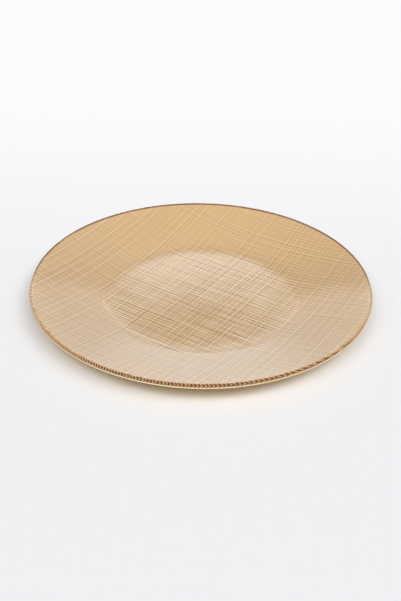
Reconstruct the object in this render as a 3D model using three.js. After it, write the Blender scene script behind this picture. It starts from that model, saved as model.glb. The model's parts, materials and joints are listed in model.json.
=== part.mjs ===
// Round glass serving plate. A disc of sheet glass is sagged in a kiln over a shallow mould, so that the
// glass keeps its thickness all over. Its underside is then sprayed with a metallic gold lacquer, which
// shows through the glass, and that film is closed in by a second, protective one.
// Millimetres, +Z up, with the origin at the middle of the face that the plate stands on.

import * as THREE from "three";

// Driving dimensions, in millimetres and degrees
const PLATE_DIAMETER = 330;
const GLASS_THICKNESS = 4;
const WELL_FLOOR_DIAMETER = 168; // the flat middle, on the upper face
const WELL_BEND_RADIUS = 75; // hollow bend from the floor to the rim, on the upper face
const RIM_SLOPE = 14; // of the straight, conical rim
const EDGE_RADIUS = 1.5; // rounding of the ground edge, above and below
const GOLD_FILM = 0.2;
const SEALING_FILM = 0.2;
const FILM_WRAP = 60; // how far both films turn up round the lower corner of the edge

// Facets of the curved faces
const TURN_SEGMENTS = 88;
const BEND_STEPS = 6;
const CORNER_STEPS = 6; // over a quarter turn

const RIGHT_ANGLE = Math.PI / 2;
const rimSlope = THREE.MathUtils.degToRad(RIM_SLOPE);
const filmWrap = THREE.MathUtils.degToRad(FILM_WRAP);

// Depths of the four faces below the plate's upper face, measured square to it
const UPPER_FACE = 0;
const GLASS_BACK = GLASS_THICKNESS;
const GOLD_BACK = GLASS_BACK + GOLD_FILM;
const UNDERSIDE = GOLD_BACK + SEALING_FILM;

// The point at an angle and a radius about a centre, in the half section (x outwards, y up)
function aroundCentre(centre, radius, angle) {
  return new THREE.Vector2(Math.cos(angle), Math.sin(angle)).multiplyScalar(radius).add(centre);
}

// Half section of the upper face: a flat floor, a hollow bend and a straight rim, each tangent to the next.
// The rim stops short of the plate's full radius by as much as the rounded edge and the films stand out.
const floorHeight = UNDERSIDE;
const bendCentre = new THREE.Vector2(WELL_FLOOR_DIAMETER / 2, floorHeight + WELL_BEND_RADIUS);
const bendEnd = aroundCentre(bendCentre, WELL_BEND_RADIUS, rimSlope - RIGHT_ANGLE);
const filmEnd = rimSlope - RIGHT_ANGLE + filmWrap;
const filmReach = (EDGE_RADIUS + GOLD_FILM + SEALING_FILM) * Math.cos(filmEnd);
const edgeLean = (GLASS_THICKNESS - EDGE_RADIUS) * Math.sin(rimSlope);
const rimRadius = PLATE_DIAMETER / 2 - edgeLean - Math.max(EDGE_RADIUS, filmReach);
const rimRise = (rimRadius - bendEnd.x) * Math.tan(rimSlope);
const rimTop = new THREE.Vector2(rimRadius, bendEnd.y + rimRise);

// The point at a depth under the top of the rim, square to the rim
function underRimTop(depth) {
  return aroundCentre(rimTop, depth, rimSlope - RIGHT_ANGLE);
}

// Points along an arc, its two ends included
function arc(centre, radius, from, to, steps) {
  const curve = new THREE.EllipseCurve(centre.x, centre.y, radius, radius, from, to, to < from);
  return curve.getPoints(steps);
}

// One face of the plate from the axis out to the start of its edge. Every layer of the plate is an offset
// of the upper face, so neighbouring layers share the face between them point for point.
function face(depth) {
  const floor = new THREE.Vector2(0, floorHeight - depth);
  const bend = arc(bendCentre, WELL_BEND_RADIUS + depth, -RIGHT_ANGLE, rimSlope - RIGHT_ANGLE, BEND_STEPS);
  return [floor, ...bend, underRimTop(depth)];
}

// Facets for a part of a quarter turn
function cornerSteps(turn) {
  return Math.max(1, Math.round((CORNER_STEPS * turn) / RIGHT_ANGLE));
}

// The lower corner of the edge, from the underside up to where the films stop
function coatedCorner(depth) {
  const centre = underRimTop(GLASS_BACK - EDGE_RADIUS);
  const radius = EDGE_RADIUS + depth - GLASS_BACK;
  return arc(centre, radius, rimSlope - RIGHT_ANGLE, filmEnd, cornerSteps(filmWrap)).slice(1);
}

// The rest of the ground edge, which stays bare glass
function bareEdge() {
  const lowerCentre = underRimTop(GLASS_BACK - EDGE_RADIUS);
  const upperCentre = underRimTop(EDGE_RADIUS);
  const lower = arc(lowerCentre, EDGE_RADIUS, filmEnd, rimSlope, cornerSteps(RIGHT_ANGLE - filmWrap));
  const upper = arc(upperCentre, EDGE_RADIUS, rimSlope, RIGHT_ANGLE + rimSlope, CORNER_STEPS);
  return [...lower.slice(1), ...upper.slice(0, -1)];
}

// Outline of the glass: out along its back, round the ground edge and in over the upper face
function glassOutline() {
  return [
    ...face(GLASS_BACK),
    ...coatedCorner(GLASS_BACK),
    ...bareEdge(),
    ...face(UPPER_FACE).reverse(),
  ];
}

// Outline of a film between two depths, which ends part way round the corner of the edge
function filmOutline(upperDepth, lowerDepth) {
  return [
    ...face(lowerDepth),
    ...coatedCorner(lowerDepth),
    ...coatedCorner(upperDepth).reverse(),
    ...face(upperDepth).reverse(),
  ];
}

// A solid of revolution: the outline is turned about the Y axis and then laid over, so that its axis is Z
function revolve(name, outline, material) {
  const geometry = new THREE.LatheGeometry(outline, TURN_SEGMENTS);
  geometry.rotateX(RIGHT_ANGLE);
  const mesh = new THREE.Mesh(geometry, material);
  mesh.name = name;
  return mesh;
}

const clearGlass = new THREE.MeshStandardMaterial({
  color: 0xf3ece0,
  roughness: 0.03,
  metalness: 0,
  transparent: true,
  opacity: 0.3,
});

const goldLacquer = new THREE.MeshStandardMaterial({ color: 0xc9a06a, roughness: 0.38, metalness: 0.6 });

const sealingLacquer = new THREE.MeshStandardMaterial({ color: 0xb58f5c, roughness: 0.45, metalness: 0.2 });

const plate = new THREE.Group();
plate.name = "serving_plate";
plate.add(
  revolve("glass_plate", glassOutline(), clearGlass),
  revolve("gold_coat", filmOutline(GLASS_BACK, GOLD_BACK), goldLacquer),
  revolve("sealing_coat", filmOutline(GOLD_BACK, UNDERSIDE), sealingLacquer),
);

export default plate;
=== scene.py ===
# %% [markdown]
# # A glass serving plate, gilded from behind
# The real plate is one disc of clear glass, sagged in a kiln over a shallow mould. Its back carries the
# print of a linen cloth, a metallic gold lacquer is sprayed over that print, and a second lacquer seals
# the gold. So the colour and the weave are seen through four millimetres of glass, while the face that
# carries the food stays smooth. This lesson makes the three layers as three closed pieces, each of which
# takes the place of a solid of the CAD frame. The frame is loaded first, because the layers are measured
# in it.

# %% Load the CAD frame
import json
import math

import bpy
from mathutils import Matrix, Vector


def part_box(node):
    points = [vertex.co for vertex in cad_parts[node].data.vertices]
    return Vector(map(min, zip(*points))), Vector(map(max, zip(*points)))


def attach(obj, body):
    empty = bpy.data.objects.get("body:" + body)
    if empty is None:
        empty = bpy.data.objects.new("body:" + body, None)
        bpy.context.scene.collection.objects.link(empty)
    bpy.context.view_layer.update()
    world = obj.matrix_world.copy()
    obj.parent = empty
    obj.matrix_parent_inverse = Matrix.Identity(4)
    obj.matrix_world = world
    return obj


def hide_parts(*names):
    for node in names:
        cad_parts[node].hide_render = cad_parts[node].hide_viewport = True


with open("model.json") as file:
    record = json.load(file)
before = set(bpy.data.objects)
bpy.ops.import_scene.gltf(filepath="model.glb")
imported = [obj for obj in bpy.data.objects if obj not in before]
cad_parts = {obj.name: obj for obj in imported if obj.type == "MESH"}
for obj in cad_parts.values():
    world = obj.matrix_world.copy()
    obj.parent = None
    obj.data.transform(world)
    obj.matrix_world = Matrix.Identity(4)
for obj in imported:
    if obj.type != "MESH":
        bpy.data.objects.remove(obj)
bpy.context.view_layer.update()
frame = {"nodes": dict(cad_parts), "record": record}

MM = 0.001


def in_mm(lengths, digits=2):
    """Lengths in metres as rounded millimetres, for the printed notes."""
    return [round(length / MM, digits) for length in lengths]


print("CAD nodes:", sorted(frame["nodes"]))

# %% [markdown]
# ## The section that all layers share
# Sagged glass keeps its thickness, so the upper face, the back of the glass and both films are offsets of
# one curve: a flat floor, a hollow bend and a straight, sloping rim. The depths of the layers and the
# plate's radius are read from the frame. The rest of the curve is given by a few values that repeat those
# of the CAD model, and every face is worked out from them, so that no piece is fitted by eye. The upper
# face alone eases into the bend more gently, because light mirrored there fades softly in the photograph.

# %% Measure the layers
glass_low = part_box("glass_plate")[0]
gold_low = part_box("gold_coat")[0]
sealing_low, sealing_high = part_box("sealing_coat")
mounts = {mount["name"]: mount for mount in frame["record"]["mounts"]}

WELL_FLOOR = mounts["well_floor"]["pos_m"][2]
PLATE_RADIUS = sealing_high.x
GLASS_BACK = WELL_FLOOR - glass_low.z
GOLD_BACK = WELL_FLOOR - gold_low.z
UNDERSIDE = WELL_FLOOR - sealing_low.z
print("Depths under the well floor in mm:", in_mm((GLASS_BACK, GOLD_BACK, UNDERSIDE), 3))

# %% Describe the section
FLOOR_RADIUS = 0.084
BEND_RADIUS = 0.075
RIM_SLOPE = math.radians(14)
EDGE_RADIUS = 0.0015
FILM_WRAP = math.radians(60)

DOWN = -math.pi / 2
RIM_DOWN = RIM_SLOPE + DOWN


def around(centre, radius, angle):
    """The point of the half section, x outwards and y up, at an angle about a centre."""
    return Vector((centre.x + radius * math.cos(angle), centre.y + radius * math.sin(angle)))


# The films of the CAD model end after FILM_WRAP and reach out to the plate's full radius there
film_reach = (EDGE_RADIUS + UNDERSIDE - GLASS_BACK) * math.cos(RIM_DOWN + FILM_WRAP)
edge_lean = (GLASS_BACK - EDGE_RADIUS) * math.sin(RIM_SLOPE)
bend_centre = Vector((FLOOR_RADIUS, WELL_FLOOR + BEND_RADIUS))
bend_end = around(bend_centre, BEND_RADIUS, RIM_DOWN)
rim_radius = PLATE_RADIUS - edge_lean - max(EDGE_RADIUS, film_reach)
rim_top = Vector((rim_radius, bend_end.y + (rim_radius - bend_end.x) * math.tan(RIM_SLOPE)))
print("Rim top in mm:", in_mm(rim_top, 3))


# %% Find points of the section
def under_rim(depth):
    """The outer end of the face at a depth, square to the rim."""
    return around(rim_top, depth, RIM_DOWN)


def face_length(depth):
    """The length of a face along the section, from the axis to the start of its edge."""
    rim_start = around(bend_centre, BEND_RADIUS + depth, RIM_DOWN)
    return FLOOR_RADIUS + (BEND_RADIUS + depth) * RIM_SLOPE + (under_rim(depth) - rim_start).length


def on_face(depth, along):
    """The point of a face at a length along the section from the axis."""
    radius = BEND_RADIUS + depth
    past_floor = along - FLOOR_RADIUS
    past_bend = past_floor - radius * RIM_SLOPE
    if past_floor < 0:
        return Vector((along, WELL_FLOOR - depth))
    if past_bend < 0:
        return around(bend_centre, radius, DOWN + past_floor / radius)
    return around(around(bend_centre, radius, RIM_DOWN), past_bend, RIM_SLOPE)


LOWER_CORNER = under_rim(GLASS_BACK - EDGE_RADIUS)
UPPER_CORNER = under_rim(EDGE_RADIUS)
print("Length of the glass back in mm:", in_mm([face_length(GLASS_BACK)]))

# %% Ease the upper face into the bend
EASE_START = 0.077
EASE_RADIUS = 0.310
EASE_TURN = math.radians(2.4)

# A wide arc leaves the floor, and a tighter one joins it to the straight rim
ease_centre = Vector((EASE_START, WELL_FLOOR + EASE_RADIUS))
ease_end = around(ease_centre, EASE_RADIUS, DOWN + EASE_TURN)
square_to_rim = around(Vector((0, 0)), 1, RIM_SLOPE - DOWN)
above_rim = (ease_end - bend_end).dot(square_to_rim)
tight_radius = above_rim / (1 - math.cos(RIM_SLOPE - EASE_TURN))
tight_centre = around(ease_centre, EASE_RADIUS - tight_radius, DOWN + EASE_TURN)
tight_end = around(tight_centre, tight_radius, RIM_DOWN)
print("Radius and outer end of the tight bend in mm:", in_mm((tight_radius, tight_end.x), 1))

# %% [markdown]
# ## The camera
# The rim's outline in the photograph is an ellipse, and its shape and the bend of the straight threads
# give the view: a camera a little under a metre away that looks down by about a third of a right angle.
# A camera could also be matched by eye, but a measured one keeps the proportions honest. The picture is
# taken to be 401 by 601 pixels, and a small roll makes the right side of the plate a little lower.

# %% Set up the camera
LONG_SIDE_PIXELS = 601
FOCAL_PIXELS = 937.7
VIEW_ELEVATION = math.radians(32.69)
VIEW_DISTANCE = 0.92
VIEW_ROLL = math.radians(1.1)
WELL_CENTRE = Vector((0, 0, WELL_FLOOR))
AIM_OFFSET = Vector((-0.0003, -0.0096, 0))

camera_data = bpy.data.cameras.new("photo_camera")
camera = bpy.data.objects.new("photo_camera", camera_data)
scene = bpy.context.scene
scene.collection.objects.link(camera)
scene.camera = camera
camera_data.lens = camera_data.sensor_width * FOCAL_PIXELS / LONG_SIDE_PIXELS
toward_camera = Vector((0, -math.cos(VIEW_ELEVATION), math.sin(VIEW_ELEVATION)))
camera.location = WELL_CENTRE + VIEW_DISTANCE * toward_camera
line_of_sight = WELL_CENTRE + AIM_OFFSET - camera.location
camera.rotation_euler = line_of_sight.to_track_quat("-Z", "Y").to_euler()
camera.rotation_euler.rotate_axis("Z", VIEW_ROLL)
scene.view_settings.view_transform = "Standard"
print("Lens in mm:", round(camera_data.lens, 2))

# %% [markdown]
# ## Helpers for node trees
# Every finish below is a small tree of nodes. Making, setting and linking a node takes several lines in
# Python, so one helper does it: a value that is itself a socket is linked, and any other value is set.


# %% Helpers that add nodes
def add_node(tree, kind, values=None, **settings):
    """Add a node, set its properties and fill its input sockets by name or number."""
    node = tree.nodes.new(kind)
    for name, value in settings.items():
        setattr(node, name, value)
    for key, value in (values or {}).items():
        if isinstance(value, bpy.types.NodeSocket):
            tree.links.new(value, node.inputs[key])
        else:
            node.inputs[key].default_value = value
    return node


def calculate(tree, operation, first, second=0.0, third=0.0):
    """Add a Math node and return its result."""
    node = add_node(tree, "ShaderNodeMath", {0: first, 1: second, 2: third}, operation=operation)
    return node.outputs[0]


def remap(tree, value, low, high, to_low=0.0, to_high=1.0):
    """Add a smooth, clamped Map Range node and return its result."""
    values = {"Value": value, "From Min": low, "From Max": high, "To Min": to_low, "To Max": to_high}
    node = add_node(tree, "ShaderNodeMapRange", values, interpolation_type="SMOOTHSTEP")
    return node.outputs["Result"]


def distance_from_axis(tree, place):
    """How far a place lies from the plate's axis, in plan."""
    flat = add_node(tree, "ShaderNodeVectorMath", {0: place, 1: (1, 1, 0)}, operation="MULTIPLY")
    return add_node(tree, "ShaderNodeVectorMath", {0: flat.outputs[0]}, operation="LENGTH").outputs["Value"]


print("Node helpers are ready")

# %% [markdown]
# ## The studio
# The plate lies on a white table in soft light from the front: its shadow stays close under the front rim,
# and the gold is brightest on the far rim, which faces the viewer. The pale haze on the near rim and the
# far half of the well is a bright panel behind the table, mirrored in the glass. Lamps and panels could be
# objects, but a lamp has hard edges in a mirror. So all light is painted into the world as soft areas, and
# each kind of ray sees its own part: the camera a pale backdrop, mirrors the walls with the panel, the gold
# behind the glass a broad glow in front, and the matt table a light high in front. The table also glows on
# its own, more and more towards the back, so that it runs into the pale backdrop.

# %% Lay the table
TABLE_SIZE = 12.0
TABLE_COLOUR = (0.86, 0.86, 0.87, 1)
TABLE_ROUGHNESS = 0.7
TABLE_SHINE = 0.2
GLOW_COLOUR = (0.98, 0.98, 0.99, 1)
GLOW_SHARE = 0.90
GLOW_START = -0.10
GLOW_END = 0.55

bpy.ops.object.select_all(action="DESELECT")
bpy.ops.mesh.primitive_plane_add(size=TABLE_SIZE, location=(0, 0, sealing_low.z))
table = bpy.context.object
table.name = "white_table"
table_paint = bpy.data.materials.new("white_table")
table_paint.use_nodes = True
tree = table_paint.node_tree
table_shader = tree.nodes["Principled BSDF"]
table_shader.inputs["Base Color"].default_value = TABLE_COLOUR
table_shader.inputs["Roughness"].default_value = TABLE_ROUGHNESS
table_shader.inputs["Specular IOR Level"].default_value = TABLE_SHINE
table_place = add_node(tree, "ShaderNodeTexCoord").outputs["Object"]
table_depth = add_node(tree, "ShaderNodeSeparateXYZ", {"Vector": table_place}).outputs["Y"]
glow = remap(tree, table_depth, GLOW_START, GLOW_END, 0.0, GLOW_SHARE)
rays = add_node(tree, "ShaderNodeLightPath").outputs
seen = calculate(tree, "MAXIMUM", rays["Is Camera Ray"], rays["Is Glossy Ray"])
seen = calculate(tree, "MAXIMUM", seen, rays["Is Transmission Ray"])
own_light = add_node(tree, "ShaderNodeEmission", {"Color": GLOW_COLOUR}).outputs["Emission"]
glow_seen = calculate(tree, "MULTIPLY", glow, seen)
blend = add_node(tree, "ShaderNodeMixShader", {0: glow_seen, 1: table_shader.outputs["BSDF"], 2: own_light})
tree.links.new(blend.outputs["Shader"], tree.nodes["Material Output"].inputs["Surface"])
table.data.materials.append(table_paint)
print("Table:", table.name)

# %% Start the world
world = bpy.data.worlds.new("studio_walls")
world.use_nodes = True
scene.world = world
tree = world.node_tree
direction = add_node(tree, "ShaderNodeTexCoord").outputs["Generated"]
toward = add_node(tree, "ShaderNodeSeparateXYZ", {"Vector": direction}).outputs


def over_rise(span, low=0.0, high=1.0):
    """A level that changes smoothly over a span of elevations, given in degrees."""
    start, end = (math.sin(math.radians(degrees)) for degrees in span)
    return remap(tree, toward["Z"], start, end, low, high)


def along_way(way):
    """How far a direction of the world points along another one."""
    values = {0: direction, 1: way.normalized()}
    return add_node(tree, "ShaderNodeVectorMath", values, operation="DOT_PRODUCT").outputs["Value"]


print("World:", world.name)

# %% Paint what mirrors see
# Spans are in degrees of elevation, and sides are parts of a direction to the left or right
WALL = 0.56
CEILING = 0.25
CEILING_SPAN = (27, 42)
PANEL = 1.95
PANEL_TOP_SPAN = (29.5, 35)
PANEL_BACK = 0.4
WIDE = 0.92
WIDE_SIDES = (0.16, 0.30)
WIDE_ABOVE = 0.65
WIDE_SPAN = (11, 18)
PATCH = 0.66
PATCH_SIDES = (0.055, 0.09)
PATCH_SPAN = (27.5, 31.5)
CORNER_GLOW = 0.50
CORNER_WAY = Vector((0.206, 0.720, 0.663))
CORNER_SPREAD = math.radians(15)

# The panel is wide and dims upwards, with a narrow, brighter patch in the middle near its top. A soft,
# round glow stands above it to the right.
walls = over_rise(CEILING_SPAN, WALL, CEILING)
aside = calculate(tree, "ABSOLUTE", toward["X"])
wide = remap(tree, aside, *WIDE_SIDES, WIDE, 0.0)
wide = calculate(tree, "MULTIPLY", wide, over_rise(WIDE_SPAN, 1.0, WIDE_ABOVE))
patch = remap(tree, aside, *PATCH_SIDES, PATCH, 0.0)
patch = calculate(tree, "MULTIPLY", patch, over_rise(PATCH_SPAN))
panel = calculate(tree, "ADD", wide, patch)
panel = calculate(tree, "MULTIPLY", panel, over_rise(PANEL_TOP_SPAN, PANEL, 0.0))
panel = calculate(tree, "MULTIPLY", panel, remap(tree, toward["Y"], 0.0, PANEL_BACK))
corner = remap(tree, along_way(CORNER_WAY), math.cos(CORNER_SPREAD), 1.0, 0.0, CORNER_GLOW)
mirrored = calculate(tree, "ADD", calculate(tree, "ADD", walls, panel), corner)
print("The panel's top fades between", PANEL_TOP_SPAN, "degrees")

# %% Paint what lights the table and the gold
BACKDROP = 0.93
FILL = 0.24
FRONT_LIGHT = 5.5
FRONT_AZIMUTH = math.radians(12)
FRONT_LOW_SPAN = (32, 48)
FRONT_HIGH_SPAN = (56, 72)
FRONT_SIDE = 0.45
GOLD_FILL = 0.185
FRONT_GLOW = 5.28
GLOW_AZIMUTH = math.radians(1)
GLOW_ELEVATION = math.radians(37)
GLOW_BORDER = 0.3
WORLD_TINT = (0.985, 0.99, 1.0, 1)

front_way = Vector((math.sin(FRONT_AZIMUTH), -math.cos(FRONT_AZIMUTH), 0))
light = over_rise(FRONT_LOW_SPAN, 0.0, FRONT_LIGHT)
light = calculate(tree, "MULTIPLY", light, over_rise(FRONT_HIGH_SPAN, 1.0, 0.0))
light = calculate(tree, "MULTIPLY", light, remap(tree, along_way(front_way), 0.0, FRONT_SIDE))
glow_way = Vector((math.sin(GLOW_AZIMUTH), -math.cos(GLOW_AZIMUTH), math.tan(GLOW_ELEVATION)))
glow = remap(tree, along_way(glow_way), GLOW_BORDER, 1.0, GOLD_FILL, FRONT_GLOW)
rays = add_node(tree, "ShaderNodeLightPath").outputs


def choose(ray, other, level):
    """One level for a kind of ray and another for the rest."""
    values = {"Factor": rays[ray], "A": other, "B": level}
    return add_node(tree, "ShaderNodeMix", values).outputs["Result"]


# A ray through glass also counts as glossy, so the gold's light is chosen after the mirrors'
level = choose("Is Glossy Ray", calculate(tree, "ADD", light, FILL), mirrored)
level = choose("Is Transmission Ray", level, glow)
level = choose("Is Camera Ray", level, BACKDROP)
tree.nodes["Background"].inputs["Color"].default_value = WORLD_TINT
tree.links.new(level, tree.nodes["Background"].inputs["Strength"])
print("World nodes:", len(tree.nodes))

# %% [markdown]
# ## The linen print
# The print on the back of the glass is a cloth of uneven threads: thin, nearly straight lines in two
# directions that cross almost squarely. An image of cloth could be laid over the plate, but a few nodes
# draw threads at any size and without an image. The width of the cloth is cut into cells, one for each
# thread. A noise that is slow along the thread and new in every cell says how strong the thread is there
# and how far it strays, and each thread is a thin line over a faint, opposite ground. Four such layers of
# different pitch lie in each direction, some light and some dark. The same nodes work in a material and in
# geometry nodes, so one function writes them into either kind of tree, and the relief that is modelled
# later follows the widest-set of the threads that are painted.

# %% Write the weave into a tree
WARP_ANGLE = math.radians(58)
WEFT_ANGLE = math.radians(147)
# Each layer: pitch and length of the threads in mm, half width in pitches, noise range, weight
WARP = (
    (8.2, 220, 0.05, 0.36, 0.58, 2.00),
    (4.4, 140, 0.08, 0.40, 0.64, 1.20),
    (5.2, 110, 0.13, 0.42, 0.68, -0.40),
    (2.6, 80, 0.20, 0.34, 0.66, 0.60),
)
WEFT = (
    (8.0, 130, 0.08, 0.38, 0.64, -0.75),
    (4.3, 80, 0.15, 0.36, 0.64, -1.15),
    (3.3, 80, 0.14, 0.38, 0.66, 0.62),
    (2.9, 90, 0.22, 0.34, 0.60, -1.45),
)
WARP_SEED = 3.7
WEFT_SEED = 91.3
LAYER_SEED = 21.7
CELL_STEP = 13.618
RIDGE_WIDTH = 0.36
STRAY = 0.7


def thread_noise(tree, index, along, length, seed):
    """Noise that is new for every thread and slow along it."""
    x = calculate(tree, "MULTIPLY_ADD", index, CELL_STEP, seed)
    y = calculate(tree, "MULTIPLY_ADD", along, 1 / (length * MM), seed)
    vector = add_node(tree, "ShaderNodeCombineXYZ", {"X": x, "Y": y}).outputs["Vector"]
    values = {"Vector": vector, "Scale": 1.0, "Detail": 0.0}
    return add_node(tree, "ShaderNodeTexNoise", values, noise_dimensions="2D").outputs["Fac"]


def thread_layer(tree, across, along, layer, seed, total, relief):
    """Add one layer to a sum: a thin line in each cell over a weak, opposite ground, or a soft ridge."""
    pitch, length, width, low, high, weight = layer
    width, ground = (RIDGE_WIDTH, 0.0) if relief else (width, width)
    place = calculate(tree, "MULTIPLY_ADD", across, 1 / (pitch * MM), seed)
    noise = thread_noise(tree, calculate(tree, "FLOOR", place), along, length, seed)
    middle = calculate(tree, "MULTIPLY_ADD", noise, STRAY, 0.5 - STRAY / 2)
    off = calculate(tree, "ABSOLUTE", calculate(tree, "SUBTRACT", calculate(tree, "FRACT", place), middle))
    line = remap(tree, off, 0.0, width, 1.0 - ground, -ground)
    strength = remap(tree, noise, low, high, 0.0, weight)
    return calculate(tree, "MULTIPLY_ADD", line, strength, total)


def turn_place(tree, place, angle):
    """A place in plan, measured across and along threads that run at an angle."""
    values = {"Vector": place, "Angle": -angle}
    turned = add_node(tree, "ShaderNodeVectorRotate", values, rotation_type="Z_AXIS").outputs["Vector"]
    split = add_node(tree, "ShaderNodeSeparateXYZ", {"Vector": turned})
    return split.outputs["Y"], split.outputs["X"]


def weave(tree, place, layers, relief=False):
    """Sum of the first layers of both directions at a place given in metres in plan."""
    total = 0.0
    for angle, cloth, seed in ((WARP_ANGLE, WARP, WARP_SEED), (WEFT_ANGLE, WEFT, WEFT_SEED)):
        across, along = turn_place(tree, place, angle)
        for number, layer in enumerate(cloth[:layers]):
            total = thread_layer(tree, across, along, layer, seed + LAYER_SEED * number, total, relief)
    return total


print("Thread directions in degrees:", [round(math.degrees(a)) for a in (WARP_ANGLE, WEFT_ANGLE)])

# %% [markdown]
# ## The print as a node group
# Two finishes share the print, so it becomes a node group with five outputs. The tone is the painted weave,
# strong in the well and fainter on the rim and towards the back, as in the photograph. The height is the
# weave as soft ridges. The rope is a row of stripes along the warp, which carry the painted highlights and
# painted shade seen in the edge of the glass. Border and edge are masks for the outermost ring of a film and
# for its end round the corner, where painted light and shade are laid. The five could be worked out in each
# material, but one group keeps them the same in both.

# %% Make the weave a node group for materials
WELL_CONTRAST = 1.60
RIM_CONTRAST = 0.48
RIM_FADE = (0.075, 0.105)
BACK_CONTRAST = 0.6
BACK_FADE = (0.0, 0.11)
MIDDLE_TONE = 0.5
ROPE_PITCH = 2.8 * MM
ROPE_SHIFT = 0.5
BORDER_FADE = (-4.0 * MM, -1.5 * MM)
EDGE_FADE = (-0.3 * MM, 0.7 * MM)

linen = bpy.data.node_groups.new("linen_print", "ShaderNodeTree")
for output in ("Tone", "Height", "Rope", "Border", "Edge"):
    linen.interface.new_socket(output, in_out="OUTPUT", socket_type="NodeSocketFloat")
linen_place = add_node(linen, "ShaderNodeTexCoord").outputs["Object"]
linen_radius = distance_from_axis(linen, linen_place)
linen_back = add_node(linen, "ShaderNodeSeparateXYZ", {"Vector": linen_place}).outputs["Y"]
rim_contrast = remap(linen, linen_radius, *RIM_FADE, WELL_CONTRAST, RIM_CONTRAST)
back_contrast = remap(linen, linen_back, *BACK_FADE, 1.0, BACK_CONTRAST)
contrast = calculate(linen, "MULTIPLY", rim_contrast, back_contrast)
linen_sum = weave(linen, linen_place, layers=4)
linen_tone = calculate(linen, "MULTIPLY_ADD", linen_sum, contrast, MIDDLE_TONE)
linen_height = weave(linen, linen_place, layers=1, relief=True)
rope_across = turn_place(linen, linen_place, WARP_ANGLE)[0]
rope = calculate(linen, "MULTIPLY_ADD", rope_across, 1 / ROPE_PITCH, ROPE_SHIFT)
rope = calculate(linen, "MULTIPLY_ADD", calculate(linen, "FRACT", rope), 2.0, -1.0)
rope = calculate(linen, "ABSOLUTE", rope)
border = remap(linen, linen_radius, *(LOWER_CORNER.x + off for off in BORDER_FADE))
edge = remap(linen, linen_radius, *(LOWER_CORNER.x + off for off in EDGE_FADE))
linen_values = {"Tone": linen_tone, "Height": linen_height, "Rope": rope, "Border": border, "Edge": edge}
add_node(linen, "NodeGroupOutput", linen_values)
print("Group outputs:", [socket.name for socket in linen.interface.items_tree])

# %% [markdown]
# ## The clear glass
# The glass is a solid of revolution with ground, rounded edges. A lathe is the natural tool: one vertex is
# drawn out into the half section, by extruding along straight faces and spinning round corners, and the
# section is then spun once round the axis. A cylinder could be shaped into the plate instead, but then the
# bends would have to be fitted. The gold film is made to reach a little into the back of the glass, so that
# the two are in optical contact and no two faces lie at the same place.


# %% A pen that draws sections
def pen_down(name, point):
    """Start a section in the XZ plane: a plane merged to one vertex at the point."""
    bpy.ops.object.select_all(action="DESELECT")
    bpy.ops.mesh.primitive_plane_add(size=EDGE_RADIUS, location=(0, 0, 0))
    piece = bpy.context.object
    piece.name = name
    piece.data.name = name
    bpy.ops.object.mode_set(mode="EDIT")
    bpy.ops.mesh.select_all(action="SELECT")
    bpy.ops.mesh.merge(type="CENTER")
    bpy.ops.transform.translate(value=(point.x, 0, point.y))
    return piece


def pen_line(start, stops):
    """Extrude the end of the section along straight steps."""
    for stop in stops:
        move = (stop.x - start.x, 0, stop.y - start.y)
        bpy.ops.mesh.extrude_region_move(TRANSFORM_OT_translate={"value": move})
        start = stop


def pen_arc(centre, turn, steps):
    """Spin the end of the section round a corner, anticlockwise for a positive turn."""
    bpy.ops.mesh.spin(steps=steps, angle=turn, center=(centre.x, 0, centre.y), axis=(0, 1, 0))


MERGE_DISTANCE = 1e-6


def close_piece(smooth_angle):
    """Merge the seams of the piece in edit mode, turn its faces outwards and shade it."""
    bpy.ops.mesh.select_all(action="SELECT")
    bpy.ops.mesh.remove_doubles(threshold=MERGE_DISTANCE)
    bpy.ops.mesh.normals_make_consistent(inside=False)
    bpy.ops.object.mode_set(mode="OBJECT")
    bpy.ops.object.shade_smooth_by_angle(angle=smooth_angle)


print("The pen is ready")

# %% Draw the section of the glass
TURN_STEPS = 256
BEND_STEPS = 14
CORNER_STEPS = 8
SUPPORT = 0.002
FLOOR_STOPS = (0.03, 0.06, EASE_START - SUPPORT)
RIM_STOPS = (0.3, 0.65, 0.97, 1.0)

floor_middle = Vector((0, WELL_FLOOR))
back_middle = Vector((0, WELL_FLOOR - GLASS_BACK))
back_floor_end = Vector((FLOOR_RADIUS, back_middle.y))
back_bend_end = around(bend_centre, BEND_RADIUS + GLASS_BACK, RIM_DOWN)
back_rim_end = under_rim(GLASS_BACK)
upper_edge = around(UPPER_CORNER, EDGE_RADIUS, RIM_SLOPE)
lower_edge = around(LOWER_CORNER, EDGE_RADIUS, RIM_SLOPE)

glass = pen_down("glass", floor_middle)
pen_line(floor_middle, [Vector((radius, WELL_FLOOR)) for radius in (*FLOOR_STOPS, EASE_START)])
pen_arc(ease_centre, EASE_TURN, BEND_STEPS)
pen_arc(tight_centre, RIM_SLOPE - EASE_TURN, BEND_STEPS)
pen_line(tight_end, [tight_end.lerp(rim_top, part) for part in RIM_STOPS])
pen_arc(UPPER_CORNER, -math.pi / 2, CORNER_STEPS)
pen_line(upper_edge, [lower_edge])
pen_arc(LOWER_CORNER, -math.pi / 2, CORNER_STEPS)
pen_line(back_rim_end, [back_rim_end.lerp(back_bend_end, part) for part in RIM_STOPS])
pen_arc(bend_centre, -RIM_SLOPE, BEND_STEPS)
pen_line(back_floor_end, [Vector((radius, back_middle.y)) for radius in (*reversed(FLOOR_STOPS), 0)])
print("The section ends at the axis, in mm:", in_mm(back_middle))

# %% Turn the glass
GLASS_SMOOTH = math.radians(30)

bpy.ops.mesh.select_all(action="SELECT")
bpy.ops.mesh.spin(steps=TURN_STEPS, angle=2 * math.pi, center=(0, 0, 0), axis=(0, 0, 1))
close_piece(GLASS_SMOOTH)
print("Glass faces:", len(glass.data.polygons), "size in mm:", in_mm(glass.dimensions))
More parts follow.
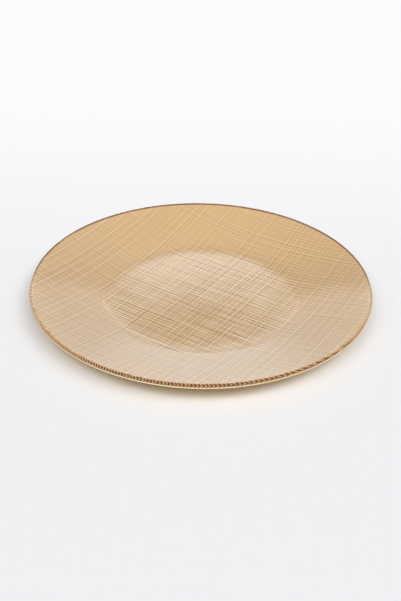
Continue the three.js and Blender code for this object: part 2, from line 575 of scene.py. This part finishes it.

# %% [markdown]
# ## The two lacquer films
# Each film is a skin of even thickness that takes the print of the linen. A film could be turned like the
# glass, but its threads run straight across the plate, so its printed face starts from a square grid that
# is wrapped into a disc: cells of nearly one size everywhere, in rings that fit the round section. A
# geometry nodes modifier then presses the weave into it. The rest of the film is drawn from the disc's
# border, extruded ring by ring round the lower corner of the edge and back along the other face. The films
# climb further up that corner than in the CAD model, to carry the pale line under the front edge, which the
# sealing finish paints as a highlight.

# %% Press the weave into a face
PRINT_DEPTH = 0.02 * MM
PRINT_FADE = (rim_radius - 6 * MM, rim_radius - 1 * MM)

press = bpy.data.node_groups.new("press_linen", "GeometryNodeTree")
press.interface.new_socket("Geometry", in_out="INPUT", socket_type="NodeSocketGeometry")
press.interface.new_socket("Geometry", in_out="OUTPUT", socket_type="NodeSocketGeometry")
unpressed = add_node(press, "NodeGroupInput").outputs["Geometry"]
press_place = add_node(press, "GeometryNodeInputPosition").outputs["Position"]
press_sum = weave(press, press_place, layers=1, relief=True)
fade = remap(press, distance_from_axis(press, press_place), *PRINT_FADE, 1.0, 0.0)
lift = calculate(press, "MULTIPLY", calculate(press, "MULTIPLY", press_sum, PRINT_DEPTH), fade)
lift_vector = add_node(press, "ShaderNodeCombineXYZ", {"Z": lift}).outputs["Vector"]
pressed = add_node(press, "GeometryNodeSetPosition", {"Geometry": unpressed, "Offset": lift_vector})
add_node(press, "NodeGroupOutput", {"Geometry": pressed.outputs["Geometry"]})
print("Press nodes:", len(press.nodes))

# %% Make a printed face
GRID_CELLS = 276
NEARLY_ZERO = 1e-9


def to_disc(x, y):
    """Radius and angle in the unit disc for a point of the square from -1 to 1, ring by ring and evenly."""
    if abs(x) < NEARLY_ZERO and abs(y) < NEARLY_ZERO:
        return 0.0, 0.0
    if abs(x) > abs(y):
        return x, math.pi / 4 * y / x
    return y, math.pi / 2 - math.pi / 4 * x / y


def printed_face(name, depth):
    """A fine disc on the section at a depth, with the weave pressed into it."""
    bpy.ops.object.select_all(action="DESELECT")
    bpy.ops.mesh.primitive_grid_add(x_subdivisions=GRID_CELLS, y_subdivisions=GRID_CELLS, size=2)
    piece = bpy.context.object
    piece.name = name
    piece.data.name = name
    length = face_length(depth)
    for vertex in piece.data.vertices:
        radius, angle = to_disc(vertex.co.x, vertex.co.y)
        point = on_face(depth, abs(radius) * length)
        reach = math.copysign(point.x, radius)
        vertex.co = (reach * math.cos(angle), reach * math.sin(angle), point.y)
    modifier = piece.modifiers.new("press_linen", "NODES")
    modifier.node_group = press
    bpy.ops.object.modifier_apply(modifier=modifier.name)
    return piece


print("Grid cells along a side:", GRID_CELLS)

# %% Close a film round its edge
FILM_CLIMB = math.radians(82)
CLIMB_STEPS = 5
FILM_BEND_STEPS = 4
FILM_SMOOTH = math.radians(40)


def draw_ring(start, stop):
    """Extrude the selected ring and move it to another radius and height."""
    bpy.ops.mesh.extrude_edges_move()
    scale = stop.x / start.x
    bpy.ops.transform.resize(value=(scale, scale, 1), center_override=(0, 0, 0))
    bpy.ops.transform.translate(value=(0, 0, stop.y - start.y))


def film_stops(printed, plain):
    """The rings of a film: up the lower corner on its printed side, down on its plain side, then inwards."""
    stops = []
    for depth, steps in ((printed, range(1, CLIMB_STEPS + 1)), (plain, range(CLIMB_STEPS, -1, -1))):
        radius = EDGE_RADIUS + depth - GLASS_BACK
        stops += [around(LOWER_CORNER, radius, RIM_DOWN + FILM_CLIMB * step / CLIMB_STEPS) for step in steps]
    for step in range(FILM_BEND_STEPS, -1, -1):
        stops.append(around(bend_centre, BEND_RADIUS + plain, DOWN + RIM_SLOPE * step / FILM_BEND_STEPS))
    return stops


def film(name, printed, plain):
    """A closed film between a printed face and a plain face, wrapped round the edge's lower corner."""
    piece = printed_face(name, printed)
    bpy.ops.object.mode_set(mode="EDIT")
    bpy.ops.mesh.select_mode(type="EDGE")
    bpy.ops.mesh.select_all(action="DESELECT")
    bpy.ops.mesh.select_non_manifold()
    start = under_rim(printed)
    for stop in film_stops(printed, plain):
        draw_ring(start, stop)
        start = stop
    bpy.ops.mesh.edge_face_add()
    close_piece(FILM_SMOOTH)
    return piece


print("Rings of a film:", len(film_stops(UNDERSIDE, GOLD_BACK)))

# %% Make the gold film and the sealing film
CONTACT = 0.08 * MM
INSIDE_GOLD = 0.06 * MM

gold = film("gold_film", GLASS_BACK - CONTACT, GOLD_BACK)
sealing = film("sealing_film", UNDERSIDE - PRINT_DEPTH, GOLD_BACK - INSIDE_GOLD)
for piece in (gold, sealing):
    triangles = sum(len(face.vertices) - 2 for face in piece.data.polygons)
    print(piece.name, "triangles:", triangles, "size in mm:", in_mm(piece.dimensions))

# %% [markdown]
# ## Finishes
# The glass is clear and nearly colourless, and a faint, wide ripple from the kiln keeps its reflections
# from being perfect. The gold is a metal lacquer whose tone follows the print: cream on the light threads
# and brown on the dark ones. Where it is seen at a low angle through the edge of the glass, and at the
# film's end, painted shade deepens it to a dark brown, with painted highlights as pale stripes along the
# warp. The sealing lacquer has the same print in a satin bronze-gold, and a painted highlight makes it pale
# where it wraps the edge. Flat colours could stand for all three, but then the plate would lose its cloth
# and its dark, roped border of painted shade.


# %% The glass finish
def new_finish(name):
    """A material and the tree and shader in it."""
    material = bpy.data.materials.new(name)
    material.use_nodes = True
    return material, material.node_tree, material.node_tree.nodes["Principled BSDF"]


GLASS_TINT = (0.985, 0.98, 0.965, 1)
GLASS_IOR = 1.5
GLASS_ROUGHNESS = 0.01
RIPPLE_SCALE = 22.0
RIPPLE_STRENGTH = 0.1
RIPPLE_HEIGHT = 0.5 * MM

clear_glass, tree, shader = new_finish("clear_glass")
shader.inputs["Base Color"].default_value = GLASS_TINT
shader.inputs["Transmission Weight"].default_value = 1.0
shader.inputs["IOR"].default_value = GLASS_IOR
shader.inputs["Roughness"].default_value = GLASS_ROUGHNESS
place = add_node(tree, "ShaderNodeTexCoord").outputs["Object"]
values = {"Vector": place, "Scale": RIPPLE_SCALE, "Detail": 1.0}
ripple = add_node(tree, "ShaderNodeTexNoise", values).outputs["Fac"]
values = {"Strength": RIPPLE_STRENGTH, "Distance": RIPPLE_HEIGHT, "Height": ripple}
bump = add_node(tree, "ShaderNodeBump", values)
tree.links.new(bump.outputs["Normal"], shader.inputs["Normal"])
glass.data.materials.append(clear_glass)
print("Finish:", clear_glass.name)


# %% Helpers for colours
def colour_ramp(tree, factor, first, last, middle=None):
    """A Color Ramp between two stops, or through a third one, each a position and a colour."""
    node = add_node(tree, "ShaderNodeValToRGB", {"Fac": factor})
    elements = node.color_ramp.elements
    for element, (position, colour) in ((elements[0], first), (elements[1], last)):
        element.position = position
        element.color = colour
    if middle:
        elements.new(middle[0]).color = middle[1]
    return node.outputs["Color"]


def mix_colours(tree, factor, first, second):
    """A Mix node for colours, which are its inputs 6 and 7 and its output 2."""
    values = {"Factor": factor, 6: first, 7: second}
    return add_node(tree, "ShaderNodeMix", values, data_type="RGBA").outputs[2]


print("Colour helpers are ready")

# %% The gold finish
GOLD_METALLIC = 0.2
GOLD_ROUGHNESS = 0.45
DARK_THREAD = (0.0, (0.46, 0.28, 0.12, 1))
GROUND = (0.5, (0.72, 0.506, 0.27, 1))
LIGHT_THREAD = (1.0, (0.92, 0.79, 0.56, 1))
# Painted shade, with painted highlights in stripes along the warp, for the gold seen at a low angle and at
# the film's end
SHADED_STRIPE = (0.42, (0.15, 0.045, 0.010, 1))
LIT_STRIPE = (0.68, (0.82, 0.50, 0.22, 1))
GRAZING_SHADE = (0.27, 0.42)
END_SHADE = 0.85
STRIPE_UNEVEN = 0.5
# Painted shade: the stripes are darker at the film's end
END_STRIPE_SHADE = -0.5
# Painted light: the stripes are paler on the outermost ring
BORDER_PAINTED_LIGHT = 0.5

gold_lacquer, tree, shader = new_finish("gold_lacquer")
shader.inputs["Metallic"].default_value = GOLD_METALLIC
shader.inputs["Roughness"].default_value = GOLD_ROUGHNESS
shader.inputs["Specular IOR Level"].default_value = 0.0
printed = add_node(tree, "ShaderNodeGroup", node_tree=linen).outputs
tones = colour_ramp(tree, printed["Tone"], DARK_THREAD, LIGHT_THREAD, GROUND)
# Painted shade by the angle of view: the lower the angle, the more of the dark, striped tone
facing = add_node(tree, "ShaderNodeLayerWeight").outputs["Facing"]
grazing_shade = remap(tree, facing, *GRAZING_SHADE)
# The share of painted shade, from the low angle of view or at the film's end
depth = calculate(tree, "MAXIMUM", grazing_shade, calculate(tree, "MULTIPLY", printed["Edge"], END_SHADE))
# The stripes shift with the print, are painted darker at the film's end and painted paler on the outermost
# ring
print_and_painted_light_shift = calculate(tree, "MULTIPLY_ADD", printed["Tone"], STRIPE_UNEVEN, -STRIPE_UNEVEN * MIDDLE_TONE)
print_and_painted_light_shift = calculate(tree, "MULTIPLY_ADD", printed["Edge"], END_STRIPE_SHADE, print_and_painted_light_shift)
border_painted_light = calculate(tree, "MULTIPLY", printed["Border"], grazing_shade)
print_and_painted_light_shift = calculate(tree, "MULTIPLY_ADD", border_painted_light, BORDER_PAINTED_LIGHT, print_and_painted_light_shift)
# The striped tone of painted shade and painted highlights, mixed over the printed gold
stripes = colour_ramp(tree, calculate(tree, "ADD", printed["Rope"], print_and_painted_light_shift), SHADED_STRIPE, LIT_STRIPE)
tree.links.new(mix_colours(tree, depth, tones, stripes), shader.inputs["Base Color"])
gold.data.materials.append(gold_lacquer)
print("Finish:", gold_lacquer.name)

# %% The sealing finish
SEALING_METALLIC = 0.45
SEALING_DARK = (0.1, (0.62, 0.40, 0.12, 1))
SEALING_LIGHT = (0.9, (0.88, 0.63, 0.24, 1))
# Painted highlight: the pale colour where the sealing film wraps the edge
WRAP_HIGHLIGHT = (0.96, 0.80, 0.55, 1)
SEALING_ROUGHNESS = 0.38
ROUGHER_THREADS = 0.15
SEALING_BUMP = 0.4
BUMP_HEIGHT = 0.1 * MM

sealing_lacquer, tree, shader = new_finish("sealing_lacquer")
shader.inputs["Metallic"].default_value = SEALING_METALLIC
printed = add_node(tree, "ShaderNodeGroup", node_tree=linen).outputs
tones = colour_ramp(tree, printed["Tone"], SEALING_DARK, SEALING_LIGHT)
# Painted highlight: the film turns pale at its end round the corner
tree.links.new(mix_colours(tree, printed["Edge"], tones, WRAP_HIGHLIGHT), shader.inputs["Base Color"])
rough = calculate(tree, "MULTIPLY_ADD", printed["Tone"], ROUGHER_THREADS, SEALING_ROUGHNESS)
tree.links.new(rough, shader.inputs["Roughness"])
values = {"Strength": SEALING_BUMP, "Distance": BUMP_HEIGHT, "Height": printed["Height"]}
bump = add_node(tree, "ShaderNodeBump", values)
tree.links.new(bump.outputs["Normal"], shader.inputs["Normal"])
sealing.data.materials.append(sealing_lacquer)
print("Finish:", sealing_lacquer.name)

# %% [markdown]
# ## Hand over
# The pieces ride on the plate's only body and take the places of the CAD solids.

# %% Ride and replace
for piece, node, slot in (
    (glass, "glass_plate", "clear_glass"),
    (gold, "gold_coat", "gold_lacquer"),
    (sealing, "sealing_coat", "sealing_lacquer"),
):
    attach(piece, "root")
    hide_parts(node)
